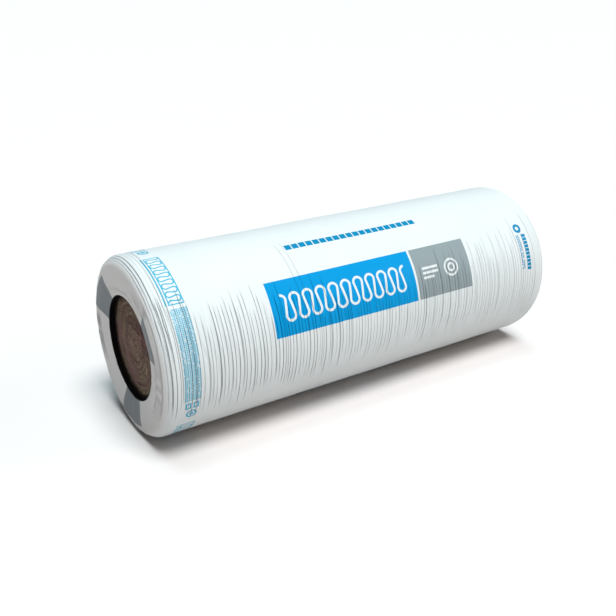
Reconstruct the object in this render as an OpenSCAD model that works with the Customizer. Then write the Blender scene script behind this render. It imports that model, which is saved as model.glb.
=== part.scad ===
// Insulation roll: a blanket of mineral wool wound up on itself, in a film that is drawn
// tight round it, folds in over both ends and leaves a round opening in each.
// Millimetres. The roll lies along X on the floor, +Z is up, and the origin is on the
// floor under the middle of the roll.

/* [Roll] */
// Length of the wrapped roll, from one end face to the other
roll_length = 1200; // [600:10:1500]
// Diameter of the wrapped roll
roll_diameter = 444; // [430:2:600]
// Reach of the rounded shoulder along the roll
shoulder_axial = 28; // [16:1:40]
// Reach of the rounded shoulder towards the axis
shoulder_radial = 25; // [14:1:30]

/* [Film] */
// Thickness of the film, with the layers that lie folded in it
film_thickness = 1; // [0.6:0.1:2]
// Clearance between the film and the wool
film_clearance = 0.3; // [0.2:0.1:0.6]
// Diameter of the round opening that the film leaves in each end
opening_diameter = 256; // [160:2:256]
// Width of the dished ring of film round the opening
dish_width = 47; // [20:1:55]
// Distance from the end face in to the film's edge at the opening
dish_depth = 7; // [4:0.5:12]

/* [Wool] */
// Distance from the film's edge in to the bare wool
recess_depth = 16; // [10:1:30]
// How much narrower the recess is at the wool than at the film's edge
recess_taper = 3; // [1:0.5:6]
// Thickness of one turn of the blanket
turn_pitch = 14; // [10:1:40]
// How far the cut edge of a turn stands out beyond the groove beside it
turn_crown = 3; // [1:0.5:5]

/* [Hidden] */

$fn = 180;
roll_r = roll_diameter / 2;
opening_r = opening_diameter / 2;
half_length = roll_length / 2;
// Steps along the quarter arc of a shoulder, and along the crown of one turn
arc_steps = 10;
crown_steps = 6;
// Depth of the wool's outer surface below the film's outer surface
wool_inset = film_thickness + film_clearance;
// Where the bare wool starts, and how far along the roll its grooves lie
recess_r = opening_r - recess_taper;
groove_x = half_length - dish_depth - recess_depth - turn_crown;
turn_count = floor(recess_r / turn_pitch);

// Outlines are lists of [radius, distance from the roll's middle].

// One end of the skin, from the opening out to the straight side, lying inset below the
// film's outer surface: the dished ring, the flat end face and the shoulder.
function skin_end(inset) = concat(
    [[opening_r, half_length - dish_depth - inset]],
    [[opening_r + dish_width, half_length - inset]],
    [for (i = [0:arc_steps]) [
        roll_r - shoulder_radial + (shoulder_radial - inset) * sin(90 * i / arc_steps),
        half_length - shoulder_axial + (shoulder_axial - inset) * cos(90 * i / arc_steps)
    ]]
);

// The cut edges of the turns, from the axis out to the foot of the recess. Each turn is a
// low crown between two grooves, and the outermost one is what is left of a turn.
function crown(from_r, to_r) = [for (i = [1:crown_steps]) [
    from_r + (to_r - from_r) * i / crown_steps,
    groove_x + turn_crown * sin(180 * i / crown_steps)
]];
function turn_edges() = concat(
    [[0, groove_x]],
    [for (turn = [0:turn_count - 1], p = crown(turn * turn_pitch, (turn + 1) * turn_pitch)) p],
    [[recess_r, groove_x]]
);

function reversed(points) = [for (i = [len(points) - 1:-1:0]) points[i]];
function other_end(points) = [for (p = reversed(points)) [p[0], -p[1]]];

// Turns an outline round the axis of the roll as it lies.
module turned(outline) {
    translate([0, 0, roll_r])
        rotate([0, 90, 0])
            rotate_extrude()
                polygon(outline);
}

// Printed film: one skin over the side, the shoulders and the ends, open in the middle
module film_wrap() {
    outside = skin_end(0);
    inside = skin_end(film_thickness);
    color("white")
        turned(concat(outside, other_end(outside), reversed(other_end(inside)), reversed(inside)));
}

// Mineral wool blanket, wound up solid, with the edges of its turns in the two openings
module wool_roll() {
    end = concat(turn_edges(), skin_end(wool_inset));
    color([0.36, 0.27, 0.22])
        turned(concat(end, other_end(end)));
}

film_wrap();
wool_roll();
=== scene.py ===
import math

import bpy
import numpy as np
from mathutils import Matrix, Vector


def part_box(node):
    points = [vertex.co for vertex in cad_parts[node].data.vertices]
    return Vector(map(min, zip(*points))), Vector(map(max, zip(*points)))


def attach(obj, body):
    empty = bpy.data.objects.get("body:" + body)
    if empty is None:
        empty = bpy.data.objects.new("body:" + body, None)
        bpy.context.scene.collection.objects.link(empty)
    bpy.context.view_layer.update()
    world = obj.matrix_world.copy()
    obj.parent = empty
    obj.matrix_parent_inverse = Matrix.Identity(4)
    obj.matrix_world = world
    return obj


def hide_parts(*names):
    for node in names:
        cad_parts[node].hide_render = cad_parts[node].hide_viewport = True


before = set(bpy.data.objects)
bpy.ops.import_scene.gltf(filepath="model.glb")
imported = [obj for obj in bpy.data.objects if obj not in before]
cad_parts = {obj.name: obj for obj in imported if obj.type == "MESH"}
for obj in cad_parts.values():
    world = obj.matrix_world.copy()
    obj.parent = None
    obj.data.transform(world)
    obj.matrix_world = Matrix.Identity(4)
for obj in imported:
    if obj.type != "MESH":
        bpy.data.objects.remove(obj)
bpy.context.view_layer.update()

# ---------------------------------------------------------------------------------------
# The wool. One blanket of brown mineral wool, sprayed with binder, pressed flat and wound
# up on itself with no core. Nothing holds it but the film round it, and the cut edges of
# its turns show in the round opening at each end, a little way in behind the film.
# ---------------------------------------------------------------------------------------
film_low, film_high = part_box("film_wrap")
HALF_LENGTH = (film_high.x - film_low.x) / 2
ROLL_RADIUS = (film_high.z - film_low.z) / 2
AXIS_HEIGHT = (film_high.z + film_low.z) / 2
TAU = 2 * math.pi

OPENING_RADIUS = 0.128
DISH_WIDTH = 0.047
DISH_DEPTH = 0.007
SHOULDER_AXIAL = 0.028
SHOULDER_RADIAL = 0.025

RECESS_DEPTH = 0.016
RECESS_TAPER = 0.003
WOOL_BELOW_FILM = 0.004
TURN_PITCH = 0.014
GROOVE_DEPTH = 0.0026
WOOL_COLUMNS = 256
WOOL_FACE_ROWS = 84
WOOL_WALL_ROWS = 9
WOOL_HIDDEN_ROWS = 7
FIBRES_PER_END = 1500
FIBRE_STEPS = 5

# Where the bare wool lies: along the roll, and the radius at the foot of the recess.
WOOL_FACE = HALF_LENGTH - DISH_DEPTH - RECESS_DEPTH
RECESS_FOOT = OPENING_RADIUS - RECESS_TAPER

# The first turns aren't round but squashed: by how much, out to which radius and which way.
SQUASH_SHARE = 0.16
SQUASH_REACH = 0.14
SQUASH_TURN = 0.5

WOOL_BROWN = (0.205, 0.135, 0.112, 1)
WOOL_OCHRE = (0.300, 0.225, 0.160, 1)
WOOL_RED = (0.270, 0.160, 0.150, 1)
WOOL_PALE = (0.550, 0.430, 0.340, 1)
WOOL_GROOVE_SHADE = (0.060, 0.040, 0.034, 1)
WOOL_SHADOW = (0.003, 0.002, 0.002, 1)


class Link:
    """An output socket of a material's nodes. Arithmetic on it adds Math nodes."""

    def __init__(self, socket):
        self.socket = socket

    def node(self, kind, settings=None, values=None, output=0):
        return add_node(self.socket.id_data, kind, settings, values, output)

    def math(self, operation, *others):
        return self.node("Math", {"operation": operation}, dict(enumerate((self, *others))))

    def __add__(self, other): return self.math("ADD", other)
    def __radd__(self, other): return self.math("ADD", other)
    def __sub__(self, other): return self.math("SUBTRACT", other)
    def __rsub__(self, other): return self.node("Math", {"operation": "SUBTRACT"}, {0: other, 1: self})
    def __mul__(self, other): return self.math("MULTIPLY", other)
    def __rmul__(self, other): return self.math("MULTIPLY", other)
    def __truediv__(self, other): return self.math("DIVIDE", other)
    def __mod__(self, other): return self.math("FLOORED_MODULO", other)
    def __pow__(self, other): return self.math("POWER", other)
    def __gt__(self, other): return self.math("GREATER_THAN", other)
    def __lt__(self, other): return self.math("LESS_THAN", other)
    def __abs__(self): return self.math("ABSOLUTE")

    def either(self, other):
        return self.math("MAXIMUM", other)

    def ramp(self, low, high):
        """0 below low, 1 above high and smooth between."""
        return self.node("MapRange", {"interpolation_type": "SMOOTHSTEP"}, {0: self, 1: low, 2: high})


def add_node(tree, kind, settings=None, values=None, output=0):
    """Adds a node, sets its settings and then its sockets, and returns one of its outputs."""
    node = tree.nodes.new("ShaderNode" + kind)
    for name, value in (settings or {}).items():
        setattr(node, name, value)
    for name, value in (values or {}).items():
        if isinstance(value, Link):
            tree.links.new(value.socket, node.inputs[name])
        else:
            node.inputs[name].default_value = value
    return Link(node.outputs[output]) if node.outputs else None


def new_finish(name):
    """A new material. Returns it, its node tree and its point in the row frame as (x, y, z, vector)."""
    finish = bpy.data.materials.new(name)
    finish.use_nodes = True
    tree = finish.node_tree
    tree.nodes.clear()
    point = add_node(tree, "TexCoord", output="Object")
    x, y, z = (add_node(tree, "SeparateXYZ", values={0: point}, output=i) for i in range(3))
    return finish, tree, x, y, z, point


def blend_colours(tree, share, first, second):
    """The first colour where share is 0 and the second where it is 1."""
    return add_node(tree, "Mix", {"data_type": "RGBA"}, {0: share, 6: first, 7: second}, 2)


def stretched(tree, point, x, y, z):
    """The point with each axis stretched by a factor, for a pattern with a grain."""
    return add_node(tree, "VectorMath", {"operation": "MULTIPLY"}, {0: point, 1: (x, y, z)})


def noise(tree, vector, scale, detail=2.0, roughness=0.5):
    return add_node(tree, "TexNoise", None,
                    {"Vector": vector, "Scale": scale, "Detail": detail, "Roughness": roughness})


def finish_with(tree, colour, roughness, bump_height, bump_distance, **constants):
    """Ends a material in one Principled shader."""
    bump = add_node(tree, "Bump", None, {"Height": bump_height, "Distance": bump_distance})
    values = {"Base Color": colour, "Roughness": roughness, "Normal": bump}
    values.update({name.replace("_", " "): value for name, value in constants.items()})
    shader = add_node(tree, "BsdfPrincipled", None, values)
    add_node(tree, "OutputMaterial", None, {"Surface": shader})


def lumps(rng, along, turn, length, count):
    """Smooth random heights from -1 to 1: lumps of a length along, and a count of them round."""
    u, v = along / length, (turn / TAU * count) % count
    u0, v0 = np.floor(u).astype(int), np.floor(v).astype(int)
    fu, fv = u - u0, v - v0
    fu, fv = fu * fu * (3 - 2 * fu), fv * fv * (3 - 2 * fv)
    table = rng.uniform(-1, 1, (u0.max() - u0.min() + 2, count))
    i = u0 - u0.min()
    low = table[i, v0 % count] * (1 - fv) + table[i, (v0 + 1) % count] * fv
    high = table[i + 1, v0 % count] * (1 - fv) + table[i + 1, (v0 + 1) % count] * fv
    return low * (1 - fu) + high * fu


def round_axis(radius, x, turn):
    """Points at a radius from the roll's axis, at x along it. Turn 0 points along +Y, a quarter turn up."""
    return np.stack(np.broadcast_arrays(
        x, radius * np.cos(turn), AXIS_HEIGHT + radius * np.sin(turn)), axis=-1)


def grid_faces(rows, columns, closed):
    """Quads over a grid of points that closes round its columns, and also over its rows if closed."""
    row = np.arange(rows if closed else rows - 1)[:, None]
    column = np.arange(columns)[None, :]
    after, beside = (row + 1) % rows, (column + 1) % columns
    quads = [row * columns + column, after * columns + column,
             after * columns + beside, row * columns + beside]
    return np.stack(np.broadcast_arrays(*quads), axis=-1).reshape(-1, 4)


def mesh_piece(name, points, faces):
    """A smooth-shaded object with a mesh of these points and faces, linked to the scene."""
    mesh = bpy.data.meshes.new(name)
    mesh.from_pydata(points.reshape(-1, 3).tolist(), [], faces)
    mesh.polygons.foreach_set("use_smooth", np.ones(len(mesh.polygons), bool))
    mesh.update()
    piece = bpy.data.objects.new(name, mesh)
    bpy.context.scene.collection.objects.link(piece)
    return piece


def turn_number(radius, turn):
    """How many turns out from the middle a point of the wool's end lies. The middle is squashed."""
    depth = np.clip(1 - radius / SQUASH_REACH, 0, 1)
    squash = 1 + SQUASH_SHARE * np.cos(2 * turn - SQUASH_TURN) * depth
    return radius * squash / TURN_PITCH - turn / TAU


def wool_face(rng, radius, turn):
    """How far the cut edge of the wool stands out at a point: crowned turns, torn and matted."""
    slack = 0.22 * lumps(rng, radius, turn, 0.030, 9) + 0.08 * lumps(rng, radius, turn, 0.012, 31)
    place = (turn_number(radius, turn) + slack) % 1
    crown = np.sqrt(np.clip(np.sin(np.pi * place), 0, 1))
    mats = 0.0016 * lumps(rng, radius, turn, 0.011, 24) + 0.0009 * lumps(rng, radius, turn, 0.004, 70)
    return GROOVE_DEPTH * (crown - 1) + mats


def wool_end(rng, side, columns):
    """The rows of points over one end of the wool, from its middle out to under the film."""
    radius = np.linspace(0.0012, RECESS_FOOT, WOOL_FACE_ROWS)[:, None] + 0 * columns
    turn = columns + 0 * radius
    rows = [round_axis(radius, side * (WOOL_FACE + wool_face(rng, radius, turn)), turn)]

    # The wall of the recess, a little ragged at its foot.
    wall = np.linspace(0.08, 1, WOOL_WALL_ROWS)[:, None]
    wall_turn = turn[:WOOL_WALL_ROWS]
    ragged = 0.0012 * lumps(rng, wall * RECESS_DEPTH, wall_turn, 0.005, 60)
    wall_radius = RECESS_FOOT + RECESS_TAPER * wall + ragged * (1 - wall)
    rows.append(round_axis(wall_radius, side * (WOOL_FACE + (RECESS_DEPTH - 0.002) * wall), wall_turn))

    # What the film hides: under its dished ring and round its shoulder.
    inset = WOOL_BELOW_FILM
    arc = np.linspace(0, np.pi / 2, WOOL_HIDDEN_ROWS)[:, None]
    hidden_radius = ROLL_RADIUS - SHOULDER_RADIAL + (SHOULDER_RADIAL - inset) * np.sin(arc)
    hidden_x = HALF_LENGTH - SHOULDER_AXIAL + (SHOULDER_AXIAL - inset) * np.cos(arc)
    rows.append(round_axis(OPENING_RADIUS + DISH_WIDTH, side * (HALF_LENGTH - inset), turn[:1]))
    rows.append(round_axis(hidden_radius, side * hidden_x, turn[:WOOL_HIDDEN_ROWS]))
    return np.concatenate(rows)


def loose_fibres(rng, side, count):
    """Tufts of fibre that lie over the cut edges: thin three-sided strands, 8 to 40 mm long."""
    steps = FIBRE_STEPS
    radius = OPENING_RADIUS * 0.97 * np.sqrt(rng.uniform(0, 1, count))
    turn = rng.uniform(0, TAU, count)
    length = rng.uniform(0.008, 0.040, count) * np.clip(radius / 0.05, 0.35, 1)
    heading = rng.normal(0, 0.45, count)
    curl = rng.normal(0, 18, count)
    lift = rng.uniform(0.0006, 0.0042, count)
    thick = rng.uniform(0.00012, 0.00034, count)
    along = np.linspace(-0.5, 0.5, steps)[None, :] * length[:, None]
    y0, z0 = radius * np.cos(turn), radius * np.sin(turn)
    way = (turn + np.pi / 2 + heading)[:, None] + curl[:, None] * along
    y, z = y0[:, None] + along * np.cos(way), z0[:, None] + along * np.sin(way)
    reach = np.hypot(y, z)
    pull = np.minimum(1, OPENING_RADIUS * 0.985 / reach)
    y, z, reach = y * pull, z * pull, reach * pull
    rise = lift[:, None] * (1 - (2 * along / length[:, None]) ** 2) - 0.0012
    x = WOOL_FACE + rise + 0.0008 * lumps(rng, reach, np.arctan2(z, y), 0.02, 16)
    core = np.stack([side * x, y, AXIS_HEIGHT + z], axis=-1)
    taper = np.array([0.3, 0.9, 1, 0.9, 0.3])[None, :]
    points = np.zeros((count, steps, 3, 3))
    for corner in range(3):
        a = TAU * corner / 3
        r = thick[:, None] * taper
        points[:, :, corner, 0] = core[..., 0] + side * r * np.sin(a)
        points[:, :, corner, 1] = core[..., 1] - r * np.cos(a) * np.sin(way)
        points[:, :, corner, 2] = core[..., 2] + r * np.cos(a) * np.cos(way)
    starts = np.arange(count)[:, None, None] * steps * 3
    faces = (grid_faces(steps, 3, False)[None] + starts).reshape(-1, 4)
    last = 3 * (steps - 1)
    caps = np.array([[0, 1, 2], [last, last + 2, last + 1]])[None] + starts
    return points.reshape(-1, 3), faces, caps.reshape(-1, 3)


def build_wool():
    rng = np.random.default_rng(11)
    columns = np.linspace(0, TAU, WOOL_COLUMNS, endpoint=False)[None, :]
    left, right = wool_end(rng, -1, columns), wool_end(rng, 1, columns)
    rows = np.concatenate([left, right[::-1]])
    faces = grid_faces(len(rows), WOOL_COLUMNS, False).tolist()
    points = [rows.reshape(-1, 3)]
    total = len(points[0])
    for first, flip in ((0, False), ((len(rows) - 1) * WOOL_COLUMNS, True)):
        ring = rows.reshape(-1, 3)[first:first + WOOL_COLUMNS]
        points.append(ring.mean(axis=0)[None])
        for i in range(WOOL_COLUMNS):
            edge = [first + i, first + (i + 1) % WOOL_COLUMNS]
            faces.append([total, *(reversed(edge) if flip else edge)])
        total += 1
    for side in (-1, 1):
        strand_points, strand_faces, strand_caps = loose_fibres(rng, side, FIBRES_PER_END)
        points.append(strand_points)
        faces += (strand_faces + total).tolist() + (strand_caps + total).tolist()
        total += len(strand_points)
    return mesh_piece("wool_blanket", np.concatenate(points), faces)


def wool_finish():
    """Brown mineral wool: a tone of its own for each turn, streaked along the turn and dusty, with painted
    shade in the grooves between turns and in the recess.
    """
    finish, tree, x, y, z, point = new_finish("brown_mineral_wool")
    up = z - AXIS_HEIGHT
    radius = (y * y + up * up) ** 0.5
    turn = up.math("ARCTAN2", y)
    depth = (1 - radius / SQUASH_REACH).math("MAXIMUM", 0)
    squash = 1 + SQUASH_SHARE * (turn * 2 - SQUASH_TURN).math("COSINE") * depth
    wander = noise(tree, point, 22) - 0.5
    number = radius * squash / TURN_PITCH - turn / TAU + wander * 0.5
    place = number % 1
    groove = (place * (1 - place) * 4) ** 0.5
    tone = add_node(tree, "TexNoise", {"noise_dimensions": "1D"},
                    {"W": number * 0.8, "Scale": 1.0, "Detail": 1.0})
    tuft = noise(tree, point, 260, 4, 0.7)
    patch = noise(tree, point, 14, 3)
    colour = blend_colours(tree, tone.ramp(0.35, 0.65), WOOL_BROWN, WOOL_OCHRE)
    colour = blend_colours(tree, patch.ramp(0.42, 0.72), colour, WOOL_RED)
    colour = blend_colours(tree, tuft.ramp(0.5, 0.85) * 0.45, colour, WOOL_PALE)
    # Painted shade: the colour darkens towards the bottom of the groove between turns.
    colour = blend_colours(tree, (1 - groove.ramp(0.1, 0.75)) * 0.28, colour, WOOL_GROOVE_SHADE)

    # Painted shade: the recess is painted dark at its foot and up its wall, where little light comes in.
    rim_shade = (radius + (tuft - 0.5) * 0.006).ramp(RECESS_FOOT - 0.0170, RECESS_FOOT + 0.0010)
    outward = 1 - (HALF_LENGTH - abs(x) - DISH_DEPTH) / RECESS_DEPTH
    wall = (radius > RECESS_FOOT - 0.0005) * (0.80 + outward * 0.8).math("MINIMUM", 1.0)
    colour = blend_colours(tree, (rim_shade * 0.80).either(wall), colour, WOOL_SHADOW)
    height = tuft * 0.7 + noise(tree, point, 90, 3) * 0.6
    finish_with(tree, colour, 0.96, height, 0.0022, Specular_IOR_Level=0.05)
    return finish


wool = build_wool()
wool.data.materials.append(wool_finish())
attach(wool, "root")
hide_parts("wool_roll")

# ---------------------------------------------------------------------------------------
# The film. One sheet of white polyethylene, printed in blue and grey with a pattern that
# comes round three times, drawn tight round the wool and welded. Its ends shrink in over
# the roll's ends to a round opening, and it creases along the way it was drawn.
# ---------------------------------------------------------------------------------------
FILM_COLUMNS = 140
FILM_SKIN = 0.0010
SIDE_ROWS = 560
CREASE_GAP = 0.0105
PRINTS_ROUND = 3
CREASE_DEPTH = 0.0018
# How dark the painted shade in the bottom of each crease is.
CREASE_SHADE = 0.66

# Where the printed repeat starts, as a turn from +Y, and how long it is round the roll. Its marks
# are placed in metres: x along the roll from its middle, and around from the repeat's start.
PRINT_START = math.radians(75.5)
PRINT_LENGTH = TAU / PRINTS_ROUND * ROLL_RADIUS
PANEL_START = 0.2329
PANEL_STOP = 0.3677

# The grey patches on the ends: their two sides in the repeat, and how far out they reach.
PATCH_START = 0.2265
PATCH_STOP = 0.3665
PATCH_RADIUS = 0.1900
PATCH_SLANT = 0.014
PATCH_BAND = 0.0095

# The painted shade of the roll's underside, and the width of the painted shadow line along the film's edge at
# the opening.
UNDER_SHADE = 0.16
EDGE_SHADOW_WIDTH = 0.0014

# The pair of long creases at the left edge of the blue panel.
PAIR_PLACE = -0.2255
PAIR_GAP = 0.0150

INK_BLUE = (0.000, 0.250, 0.540, 1)
INK_DEEP_BLUE = (0.004, 0.200, 0.370, 1)
INK_TEAL = (0.015, 0.330, 0.480, 1)
INK_GREY = (0.240, 0.280, 0.290, 1)
INK_PALE_GREY = (0.195, 0.210, 0.225, 1)
FILM_WHITE = (0.645, 0.660, 0.655, 1)
FILM_WHITE_TWO = (0.625, 0.645, 0.640, 1)
# A duller, slightly darker and warmer copy of the white: painted shade for the film over the end faces.
FILM_END_SHADED = (0.650, 0.620, 0.605, 1)
# The painted shadow line along the film's edge at the opening.
FILM_EDGE_SHADOW = (0.020, 0.018, 0.016, 1)


def film_outline():
    """The film's outer outline at the left end: rows of (radius, distance along), from the opening out."""
    dish = np.linspace(0, 1, 13)[:-1]
    ring = np.linspace(OPENING_RADIUS + DISH_WIDTH, ROLL_RADIUS - SHOULDER_RADIAL, 7)[:-1]
    shoulder = np.linspace(0, np.pi / 2, 19)[:-1]
    side = np.linspace(HALF_LENGTH - SHOULDER_AXIAL, 0, SIDE_ROWS // 2 + 1)[:-1]
    radius = np.concatenate([
        OPENING_RADIUS + DISH_WIDTH * dish, ring,
        ROLL_RADIUS - SHOULDER_RADIAL * (1 - np.sin(shoulder)), ROLL_RADIUS + 0 * side])
    along = np.concatenate([
        HALF_LENGTH - DISH_DEPTH * (1 - dish), HALF_LENGTH + 0 * ring,
        HALF_LENGTH - SHOULDER_AXIAL * (1 - np.cos(shoulder)), side])
    return radius, along


def near_turn(turn, middle, reach):
    """1 at a middle turn, falling smoothly to 0 at reach on either side."""
    away = np.abs((turn - middle + np.pi) % TAU - np.pi)
    t = np.clip(1 - away / reach, 0, 1)
    return t * t * (3 - 2 * t)


def add_crease(height, along, turn, place, middle, reach, width, rise, lean):
    """Adds one crease that runs round the roll at a place along it."""
    line = place + lean * ((turn - middle + np.pi) % TAU - np.pi)
    away = (along - line) / width
    height += rise * np.exp(-away * away) * near_turn(turn, middle, reach)


def side_creases(rng, along, turn):
    """The broad creases of the film's side, on the two flanks."""
    height = np.zeros(np.broadcast(along, turn).shape)
    for flank in (math.radians(172), math.radians(5)):
        place = -HALF_LENGTH + 0.05
        while place < HALF_LENGTH - 0.06:
            share = (place + HALF_LENGTH) / (2 * HALF_LENGTH)
            strength = 1.0 - 0.55 * share
            rise = rng.uniform(0.25, 1.0) ** 1.4 * 0.0016 * strength * rng.choice([-1, 1], p=[0.35, 0.65])
            reach = math.radians(rng.uniform(20, 46) * (1 - 0.25 * share))
            middle = flank + math.radians(rng.normal(0, 6))
            near = np.abs(along[:, 0] - place) < 0.03
            part = height[near]
            add_crease(part, along[near], turn, place, middle, reach,
                       rng.uniform(0.0026, 0.0045), rise, rng.normal(0, 0.004))
            height[near] = part
            place += CREASE_GAP * rng.uniform(0.45, 1.5)
    return height


def build_film():
    rng = np.random.default_rng(5)
    radius, along = film_outline()
    radius = np.concatenate([radius, [ROLL_RADIUS], radius[::-1]])[:, None]
    along = np.concatenate([-along, [0.0], along[::-1]])[:, None]
    turn = np.linspace(0, TAU, FILM_COLUMNS, endpoint=False)[None, :]

    slope_r = np.gradient(radius[:, 0])[:, None]
    slope_x = np.gradient(along[:, 0])[:, None]
    size = np.hypot(slope_r, slope_x)
    normal_r, normal_x = slope_x / size, -slope_r / size

    on_side = np.clip((HALF_LENGTH - SHOULDER_AXIAL - np.abs(along)) / 0.06, 0, 1)
    height = side_creases(rng, along, turn) * np.clip(on_side * 3, 0, 1)
    height += 0.0006 * lumps(rng, along, turn, 0.16, 7)
    height += 0.00025 * lumps(rng, along, turn, 0.03, 24)

    # Ripples beside the left band, where the film has slid along and stands in folds.
    for place, rise in ((-0.476, 0.0016), (-0.461, 0.0020), (-0.444, 0.0017), (-0.425, 0.0021),
                        (-0.404, 0.0015), (-0.385, 0.0013)):
        add_crease(height, along, turn, place, math.radians(158), math.radians(44), 0.0042, rise, 0.012)

    # Pleats across the end faces, where a wide tube of film gathers to a narrow opening.
    on_end = np.clip((np.abs(along) - HALF_LENGTH + SHOULDER_AXIAL * 0.6) / 0.008, 0, 1)
    height += on_end * 0.0005 * lumps(rng, 0 * along + radius * 0.25, turn, 0.05, 75)

    # The creases and ripples aren't straight: they lean and wander along the roll.
    warp = 0.0055 * lumps(rng, along, turn, 0.10, 16) + 0.0028 * lumps(rng, along, turn, 0.045, 30)
    warp += 0.0096 * np.sin(turn - math.radians(160))
    shifted = along + warp * on_side
    outer = round_axis(radius + height * normal_r, shifted + height * normal_x, turn)
    outer[..., 2] = np.maximum(outer[..., 2], 0.0001)

    # The inner side is plain, because nothing shows of it but its edge at the openings.
    end_rows = np.count_nonzero(along < SHOULDER_AXIAL + 0.003 - HALF_LENGTH)
    left_end, right_end = (0, end_rows), (len(radius) - end_rows, len(radius))
    keep = np.concatenate([np.arange(*left_end, 2), np.arange(*right_end, 2)])[::-1]
    inner_radius = radius[keep] - normal_r[keep] * FILM_SKIN
    inner_along = along[keep] - normal_x[keep] * FILM_SKIN
    sunk = np.where(np.abs(inner_along) < HALF_LENGTH - 0.004, 0.0018, 0.0)
    inner = round_axis(inner_radius - sunk * normal_r[keep], inner_along, turn)
    rows = np.concatenate([outer, inner])
    return mesh_piece("printed_film", rows, grid_faces(len(rows), FILM_COLUMNS, True).tolist())


def between(value, low, high):
    """1 where the value lies between low and high, and 0 elsewhere."""
    return (value > low) * (value < high)


def bar(x, y, left, right, bottom, top):
    """A filled rectangle."""
    return between(x, left, right) * between(y, bottom, top)


def frame_line(x, y, left, right, bottom, top, stroke):
    """The outline of a rectangle, drawn inside its edges."""
    inner = bar(x, y, left + stroke, right - stroke, bottom + stroke, top - stroke)
    return bar(x, y, left, right, bottom, top) * (1 - inner)


def ring(x, y, middle_x, middle_y, radius, stroke):
    """A circle drawn with a stroke."""
    away = ((x - middle_x) ** 2 + (y - middle_y) ** 2) ** 0.5
    return abs(away - radius) < stroke / 2


def batt_wave(x, y, pitch, reach, bulb, stroke):
    """The drawing-board sign for insulation: one looping line, round bends joined by straight runs."""
    across = abs((x / pitch + 0.5) % 1 - 0.5) * pitch
    lean = (bulb - pitch / 4) / reach
    straight = abs(across - pitch / 4 - y * lean) < stroke / 2 * math.hypot(1, lean)
    upper = ring(across, y, 0.0, reach, bulb, stroke) * (y > reach)
    lower = ring(across, y, pitch / 2, -reach, bulb, stroke) * (y < -reach)
    return (straight * (abs(y) < reach)).either(upper).either(lower)


def dashes(tree, x, y, dash_pitch, row_pitch, fill_x, fill_y, kept, seed):
    """Rows of short dashes along x that stand for lines of small print, with gaps as between words."""
    column, row = (x / dash_pitch).math("FLOOR"), (y / row_pitch).math("FLOOR")
    cell = add_node(tree, "CombineXYZ", None, {0: column, 1: row, 2: seed})
    chance = add_node(tree, "TexWhiteNoise", {"noise_dimensions": "3D"}, {"Vector": cell})
    inside = ((x / dash_pitch) % 1 < fill_x) * ((y / row_pitch) % 1 < fill_y)
    return inside * (chance < kept)


def panel_print(tree, x, around):
    """The two panels of the front: (blue panel, grey panel, white signs on them, row of dashes above)."""
    blue = bar(x, around, -0.3166, 0.1110, PANEL_START, PANEL_STOP)
    grey = bar(x, around, 0.1177, 0.3029, PANEL_START, PANEL_STOP)
    wave = batt_wave(x + 0.2875, 0.3010 - around, 0.0370, 0.0190, 0.0125, 0.0062)
    wave = wave * between(x, -0.2875, 0.0830)
    bars = bar(x, around, 0.140, 0.192, 0.2860, 0.2925)
    bars = bars.either(bar(x, around, 0.140, 0.192, 0.2985, 0.3050))
    bars = bars.either(bar(x, around, 0.140, 0.176, 0.3110, 0.3175))
    coil = ring(x, around, 0.238, 0.3020, 0.0215, 0.0055)
    coil = coil.either(ring(x, around, 0.238, 0.3020, 0.0095, 0.0055))
    row = dashes(tree, x + 0.2140, around - 0.1390, 0.0205, 0.0600, 0.86, 0.28, 0.93, 3.0)
    row = row * bar(x, around, -0.2140, 0.1965, 0.1380, 0.1560)
    return blue, grey, wave.either(bars).either(coil), row


def far_end_print(tree, x, around):
    """The marks near the right end: a ring, a row of bold dashes and two rows of small ones."""
    loop = ring(x, around, 0.5170, 0.2420, 0.0100, 0.0080)
    bold = dashes(tree, around - 0.2615, x - 0.5215, 0.0105, 0.0600, 0.84, 0.25, 0.95, 5.0)
    bold = bold * bar(x, around, 0.5210, 0.5370, 0.2615, 0.3665)
    small = dashes(tree, around - 0.2615, x - 0.5010, 0.0052, 0.0058, 0.74, 0.68, 0.92, 7.0)
    small = small * bar(x, around, 0.5010, 0.5125, 0.2615, 0.3600)
    return loop.either(bold).either(small)


def left_band_print(tree, x, around):
    """The band round the left end: a framed sign, a block of fine dashes, and a mark of rings and squares."""
    box = frame_line(x, around, -0.5528, -0.5150, 0.0830, 0.2344, 0.0030)
    edge = bar(x, around, -0.5600, -0.5568, 0.0830, 0.2344)
    sign = batt_wave(around - 0.0870, x + 0.5340, 0.0220, 0.0085, 0.0071, 0.0034)
    sign = sign * between(around, 0.0880, 0.2290)
    block = bar(x, around, -0.5545, -0.5140, 0.2430, 0.4630)
    fine = dashes(tree, around, x, 0.0040, 0.0047, 0.66, 0.62, 0.86, 9.0)
    fine = (fine * block).either(block * 0.35)
    mark = ring(x, around, -0.5340, 0.0415, 0.0110, 0.0048)
    mark = mark.either(ring(x, around, -0.5340, 0.0415, 0.0035, 0.0040))
    mark = mark.either(frame_line(x, around, -0.5510, -0.5370, 0.0040, 0.0230, 0.0038))
    mark = mark.either(frame_line(x, around, -0.5320, -0.5180, 0.0040, 0.0230, 0.0038))
    return box.either(edge).either(sign).either(fine).either(mark)


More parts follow.
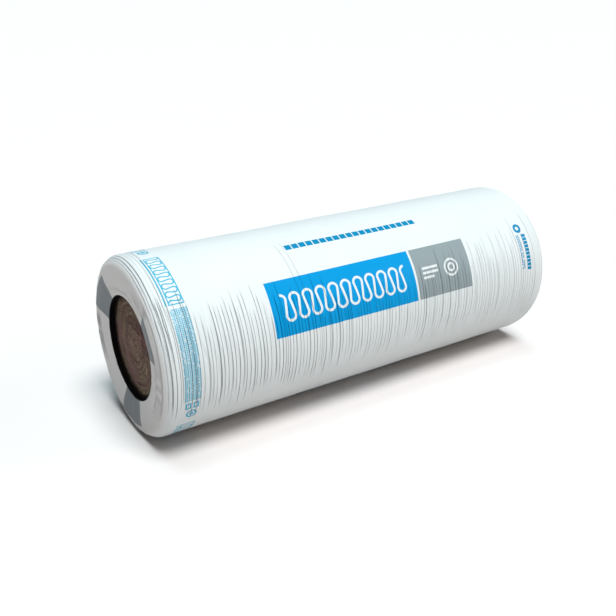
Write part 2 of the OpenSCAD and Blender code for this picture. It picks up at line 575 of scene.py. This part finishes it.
def crease_rows(tree, x, arc, pitch, seed, low, high):
    """Fine creases that run round the roll, one in each pitch along it. Each has a place, a strength
    and two ends of its own. 1 in the bottom of a crease and 0 beside it."""
    cell = (x / pitch).math("FLOOR")
    chance = add_node(tree, "TexWhiteNoise", {"noise_dimensions": "1D"}, {"W": cell + seed}, 1)
    place, strength, ends = (add_node(tree, "SeparateColor", None, {0: chance}, i) for i in range(3))
    away = abs(x / pitch - cell - 0.5 - (place - 0.5) * 0.30) * pitch
    line = (1 - away / (strength * 0.0003 + 0.0009)).either(0.0)
    bottom, top = low + (place * 7 % 1 - 0.5) * 0.25, high + (ends - 0.5) * 0.40
    return line * (arc - bottom).ramp(0.0, 0.25) * (1 - (arc - top).ramp(-0.18, 0.0)) * (strength * 0.6 + 0.4)


def flank_grooves(tree, x, y, up):
    """The fine creases of the two flanks, which crowd and reach further towards the left end."""
    arc = (up / ROLL_RADIUS).math("MINIMUM", 1.0).math("MAXIMUM", -1.0).math("ARCSINE")
    side = (y > 0) * 37.0
    field = add_node(tree, "CombineXYZ", None, {0: x, 1: arc * 0.05, 2: side})
    bent = x + (noise(tree, field, 7, 1) - 0.5) * 0.012
    high, low = abs(x) * 0.75 + 0.36, abs(x) * -0.25 - 0.40
    near = crease_rows(tree, bent, arc, 0.0096, side + 2.0, low, high)
    far = crease_rows(tree, bent + arc * 0.002, arc, 0.0300, side + 9.0, low + 0.1, high + 0.12)
    pair = abs(abs(bent - PAIR_PLACE) - PAIR_GAP / 2) < 0.0009
    pair = pair * between(arc, 0.45, 1.25) * (y < 0) * 0.4
    return (near.either(far) * (0.85 - x * 0.40)).either(pair)


def shoulder_folds(tree, x, up):
    """The folds that run round the upper left shoulder, where the film bunches as it turns in."""
    place = add_node(tree, "CombineXYZ", None, {0: x * 0.2, 1: up, 2: 3.0})
    bent = x + (noise(tree, place, 11, 2) - 0.5) * 0.010
    lines = 0.0
    for middle, width, low in ((-0.5960, 0.0013, 0.45), (-0.5915, 0.0015, 0.10), (-0.5850, 0.0017, 0.35),
                               (-0.5760, 0.0020, 0.05), (-0.5660, 0.0015, 0.40), (-0.5570, 0.0013, 0.20)):
        lot = stretched(tree, place, 1, 1, middle * 900)
        strength = noise(tree, lot, 7, 1).ramp(0.34, 0.60) * 0.75 + 0.25
        line = (1 - abs(bent - middle) / width) * strength * (up / ROLL_RADIUS).ramp(low, low + 0.45)
        lines = line.either(lines)
    return lines


def film_finish():
    """White film with its print and its grey patches, and with finer creases than the mesh holds, with
    painted shade in the creases, on the end faces, towards the underside and along the edge of the opening.
    """
    finish, tree, x, y, z, point = new_finish("printed_white_film")
    up = z - AXIS_HEIGHT
    turn = up.math("ARCTAN2", y)
    around = ((turn - PRINT_START) * ROLL_RADIUS) % PRINT_LENGTH
    blue, grey, white, row = panel_print(tree, x, around)
    deep = row.either(far_end_print(tree, x, around))
    teal = left_band_print(tree, x, around)

    radius = (y * y + up * up) ** 0.5
    edge = radius - PATCH_SLANT * (turn + math.radians(28)).math("COSINE")
    sector = between(around, PATCH_START, PATCH_STOP)
    patch = sector * (edge < PATCH_RADIUS) * (abs(x) > HALF_LENGTH - PATCH_BAND)

    mottle = noise(tree, point, 9, 2)
    body = blend_colours(tree, mottle.ramp(0.3, 0.7), FILM_WHITE, FILM_WHITE_TWO)
    side = abs(x) < HALF_LENGTH - SHOULDER_AXIAL * 0.5
    # Painted shade: the end faces take a duller, slightly darker copy of the white.
    ends = (ROLL_RADIUS - SHOULDER_RADIAL * 0.5 - radius).ramp(-0.012, 0.006)
    body = blend_colours(tree, ends * (abs(x) > HALF_LENGTH - SHOULDER_AXIAL), body, FILM_END_SHADED)
    colour = blend_colours(tree, blue * side, body, INK_BLUE)
    colour = blend_colours(tree, grey * side, colour, INK_GREY)
    colour = blend_colours(tree, white * (blue.either(grey)), colour, FILM_WHITE)
    colour = blend_colours(tree, deep * side, colour, INK_DEEP_BLUE)
    colour = blend_colours(tree, teal * 0.92, colour, INK_TEAL)
    colour = blend_colours(tree, patch, colour, INK_PALE_GREY)

    # Painted shade: darker towards the underside, and in the bottom of each crease and fold.
    underside_shade = 1 - (up / ROLL_RADIUS).ramp(-0.75, -0.20)
    creases_for_bump_and_shade = flank_grooves(tree, x, y, up).either(shoulder_folds(tree, x, up))
    shade = 1 - creases_for_bump_and_shade * CREASE_SHADE - underside_shade * UNDER_SHADE
    colour = add_node(tree, "VectorMath", {"operation": "SCALE"}, {0: colour, "Scale": shade})
    # Painted shadow: a thin dark line along the film's edge at the opening.
    colour = blend_colours(tree, radius < OPENING_RADIUS + EDGE_SHADOW_WIDTH, colour, FILM_EDGE_SHADOW)
    outward = add_node(tree, "CombineXYZ", None, {0: x * 3.0, 1: y / radius, 2: up / radius})
    pleats = noise(tree, outward, 13, 3) * (abs(x) > HALF_LENGTH - SHOULDER_AXIAL * 0.7)
    height = noise(tree, point, 45, 2) * 0.35 - creases_for_bump_and_shade + pleats * 0.8
    roughness = 0.34 + mottle * 0.12
    finish_with(tree, colour, roughness, height, CREASE_DEPTH, IOR=1.5, Specular_IOR_Level=0.08)
    return finish


film = build_film()
film.data.materials.append(film_finish())
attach(film, "root")
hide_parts("film_wrap")

# ---------------------------------------------------------------------------------------
# The studio: a plain pale floor, soft light from the front, from above and from the right,
# and a dim cool sky, with the camera above the left end and looking down along the roll.
# ---------------------------------------------------------------------------------------
FLOOR_SIZE = 400.0
FLOOR_TONE = (0.735, 0.680, 0.660, 1)
FLOOR_TONE_TWO = (0.745, 0.690, 0.670, 1)
CAMERA_PLACE = (-1.148, -1.604, 1.020)
CAMERA_HEADING = 56.52
CAMERA_DIP = 22.906
CAMERA_LENS = 45.16
# Each soft light: its direction, strength, spread in degrees and colour.
FRONT_LIGHT = ((0.0, -0.375, 0.927), 3.50, 26, (0.925, 0.975, 0.995))
TOP_LIGHT = ((0.0, 0.15, 0.989), 1.40, 30, (0.68, 0.90, 0.99))
SIDE_LIGHT = ((0.80, -0.50, 0.33), 0.9, 30, (1.0, 1.0, 0.98))
SKY_COLOUR = (0.80, 0.93, 1.0, 1)
SKY_STRENGTH = 0.03


def build_floor():
    half = FLOOR_SIZE / 2
    corners = np.array([(-half, -half, 0), (half, -half, 0), (half, half, 0), (-half, half, 0)], float)
    floor = mesh_piece("studio_floor", corners, [[0, 1, 2, 3]])
    finish, tree, x, y, z, point = new_finish("pale_studio_paper")
    tone = blend_colours(tree, noise(tree, point, 3), FLOOR_TONE, FLOOR_TONE_TWO)
    finish_with(tree, tone, 0.9, noise(tree, point, 400), 0.0001, Specular_IOR_Level=0.1)
    floor.data.materials.append(finish)


def add_light(name, place, strength, spread, colour):
    """A soft lamp far away in a direction: its light falls evenly over the whole floor."""
    lamp = bpy.data.lights.new(name, "SUN")
    lamp.energy = strength
    lamp.angle = math.radians(spread)
    lamp.color = colour
    holder = bpy.data.objects.new(name, lamp)
    holder.rotation_euler = Vector(place).to_track_quat("Z", "Y").to_euler()
    bpy.context.scene.collection.objects.link(holder)


def build_light():
    add_light("front_light", *FRONT_LIGHT)
    add_light("top_light", *TOP_LIGHT)
    add_light("side_light", *SIDE_LIGHT)
    world = bpy.data.worlds.new("dim_sky")
    world.use_nodes = True
    sky = world.node_tree.nodes["Background"]
    sky.inputs["Color"].default_value = SKY_COLOUR
    sky.inputs["Strength"].default_value = SKY_STRENGTH
    bpy.context.scene.world = world


def build_camera():
    lens = bpy.data.cameras.new("camera")
    lens.lens = CAMERA_LENS
    lens.clip_end = FLOOR_SIZE
    camera = bpy.data.objects.new("camera", lens)
    camera.location = CAMERA_PLACE
    camera.rotation_euler = (math.radians(90 - CAMERA_DIP), 0, math.radians(CAMERA_HEADING - 90))
    bpy.context.scene.collection.objects.link(camera)
    bpy.context.scene.camera = camera
    bpy.context.scene.view_settings.view_transform = "Standard"


build_floor()
build_light()
build_camera()
